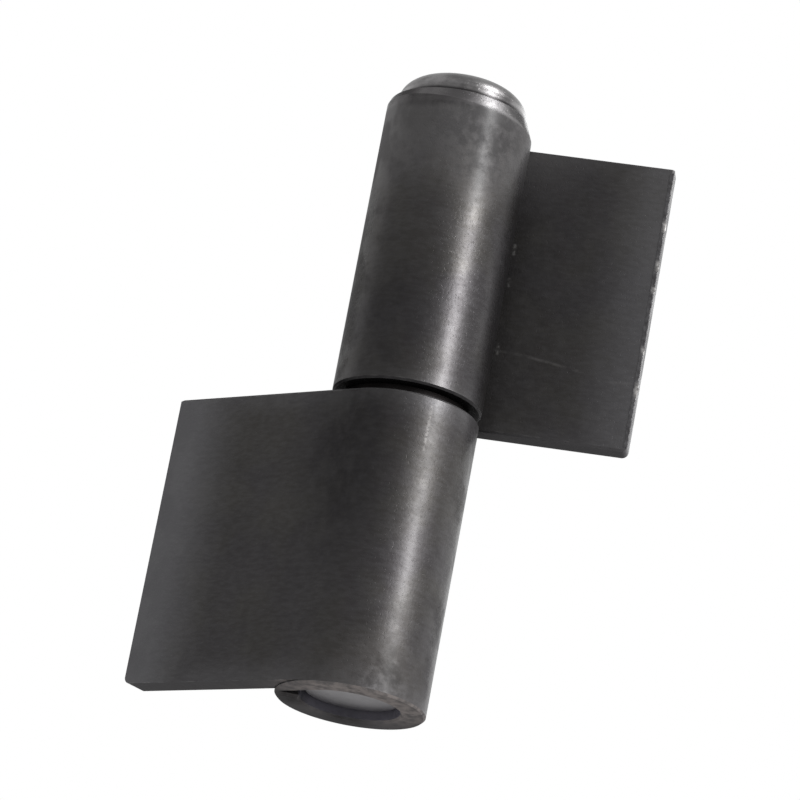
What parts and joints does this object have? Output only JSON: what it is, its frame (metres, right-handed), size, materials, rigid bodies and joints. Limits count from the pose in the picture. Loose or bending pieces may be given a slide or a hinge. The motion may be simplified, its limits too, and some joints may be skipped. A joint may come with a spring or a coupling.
{
  "type": "lift-off hinge",
  "caption": "Weld-on lift-off hinge rolled from plate: the upper leaf turns on a pin held by the lower leaf and lifts straight off it; a domed plug closes its knuckle.",
  "frame": {"origin": "on the hinge axis, in the plane of the lower knuckle's bottom end", "axes": "+Z along the hinge axis, the way the upper half lifts off; -Y out of the lower leaf's weld face; the lower leaf runs along -X"},
  "size_m": [0.0469, 0.03, 0.079],
  "materials": {
    "leaf_steel": "black hot-rolled plate, bare and lightly oiled, sheared edges",
    "pin_steel": "plain drawn bar, dull",
    "washer_steel": "blackened and oiled",
    "plug_steel": "dark, turned, worn brighter on its shoulder"
  },
  "bodies": {
    "lower_half": {"lower_leaf": "leaf_steel", "pin": "pin_steel"},
    "washer": {"thrust_washer": "washer_steel"},
    "upper_half": {"upper_leaf": "leaf_steel", "end_plug": "plug_steel"}
  },
  "joints": [
    {"name": "turn", "type": "hinge", "parent": "lower_half", "child": "washer", "pos_m": [0, 0, 0.0378], "axis": [0, 0, 1], "continuous": true},
    {"name": "lift_off", "type": "slide", "parent": "washer", "child": "upper_half", "axis": [0, 0, 1], "range_m": [0, 0.042]}
  ]
}
